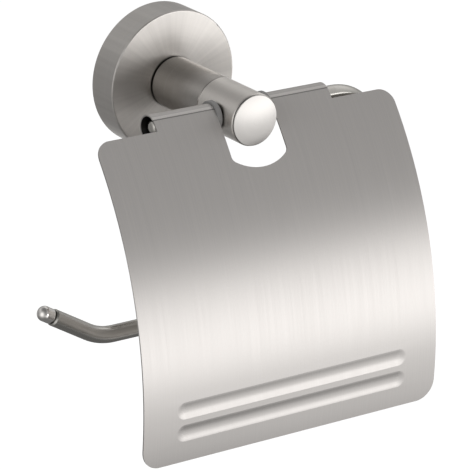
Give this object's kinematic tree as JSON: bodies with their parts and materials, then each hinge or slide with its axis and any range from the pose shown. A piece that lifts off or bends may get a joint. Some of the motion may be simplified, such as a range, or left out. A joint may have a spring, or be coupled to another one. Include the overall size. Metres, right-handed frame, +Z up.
{
  "type": "toilet paper holder",
  "caption": "Wall-mounted toilet paper holder with a round rosette and post, a bent wire bar open at one end and a curved hinged lid over the roll.",
  "frame": {"origin": "centre of the wall plate's back face, on the wall and on the post's axis", "axes": "+Z up, +Y into the wall, so the holder's front faces -Y, and +X to the right as seen from the front"},
  "size_m": [0.1489, 0.0938, 0.1368],
  "materials": {
    "satin_steel": "satin, turned or drawn grain",
    "lid_steel": "brushed from top to bottom",
    "polished_steel": "fine satin, nearly polished",
    "plain_steel": "zinc plated",
    "cast_alloy": "die cast, tumbled",
    "grey_plastic": "moulded, slightly translucent"
  },
  "bodies": {
    "post": {"wall_plate": "cast_alloy", "rosette": "satin_steel", "rosette_grub_screw": "plain_steel", "neck": "satin_steel", "barrel": "satin_steel", "post_washer": "plain_steel", "spring_washer": "plain_steel", "post_bolt": "plain_steel", "wire_lock_screw": "plain_steel", "end_cap": "polished_steel", "hanger_wire": "satin_steel", "bar_end_bead": "polished_steel"},
    "lid": {"lid": "lid_steel", "bush_left": "grey_plastic", "bush_right": "grey_plastic"}
  },
  "joints": [
    {"name": "lid_hinge", "type": "hinge", "parent": "post", "child": "lid", "pos_m": [0, -0.05208, 0], "axis": [-1, 0, 0], "range_deg": [-22, 180]}
  ]
}
